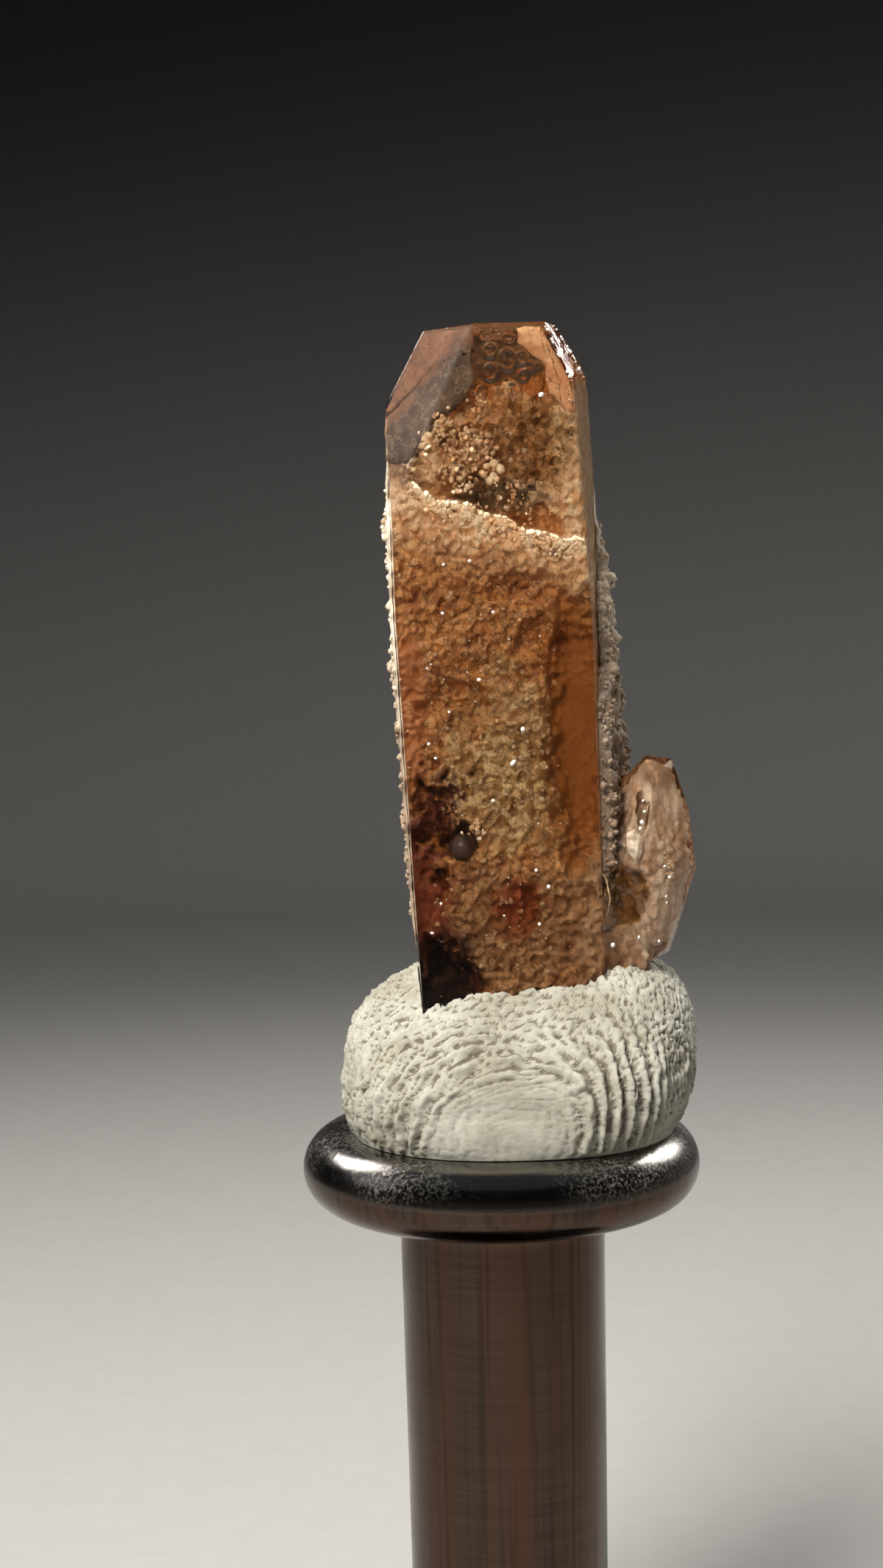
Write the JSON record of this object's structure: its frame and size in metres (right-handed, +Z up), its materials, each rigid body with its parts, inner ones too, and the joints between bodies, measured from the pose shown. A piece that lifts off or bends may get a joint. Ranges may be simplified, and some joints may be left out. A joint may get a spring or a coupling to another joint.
{
  "type": "topaz crystal specimen on a stand",
  "caption": "Sand-brown topaz crystal with a faceted tip and a small side crystal, set in a lump of mineral tack on a flanged round metal stand that rests on its foot.",
  "frame": {"origin": "centre of the flat underside of the stand's foot, on the post's axis", "axes": "+Z up along the post, -Y out of the crystal's broad front face, +X to the right of somebody looking at that face"},
  "size_m": [0.019, 0.019, 0.038],
  "materials": {
    "topaz": "clear sherry-brown topaz clouded with sand, glossy natural faces with fine growth marks",
    "matrix": "crumbly pale rhyolite crust, matt and granular",
    "tack": "ivory-white kneadable putty, matt, with pressed finger ridges",
    "metal": "polished steel with faint turning marks and a dusty residue on the flange"
  },
  "bodies": {
    "root": {"topaz_crystal": "topaz", "matrix_crust": "matrix", "mineral_tack": "tack", "metal_stand": "metal"}
  },
  "joints": []
}
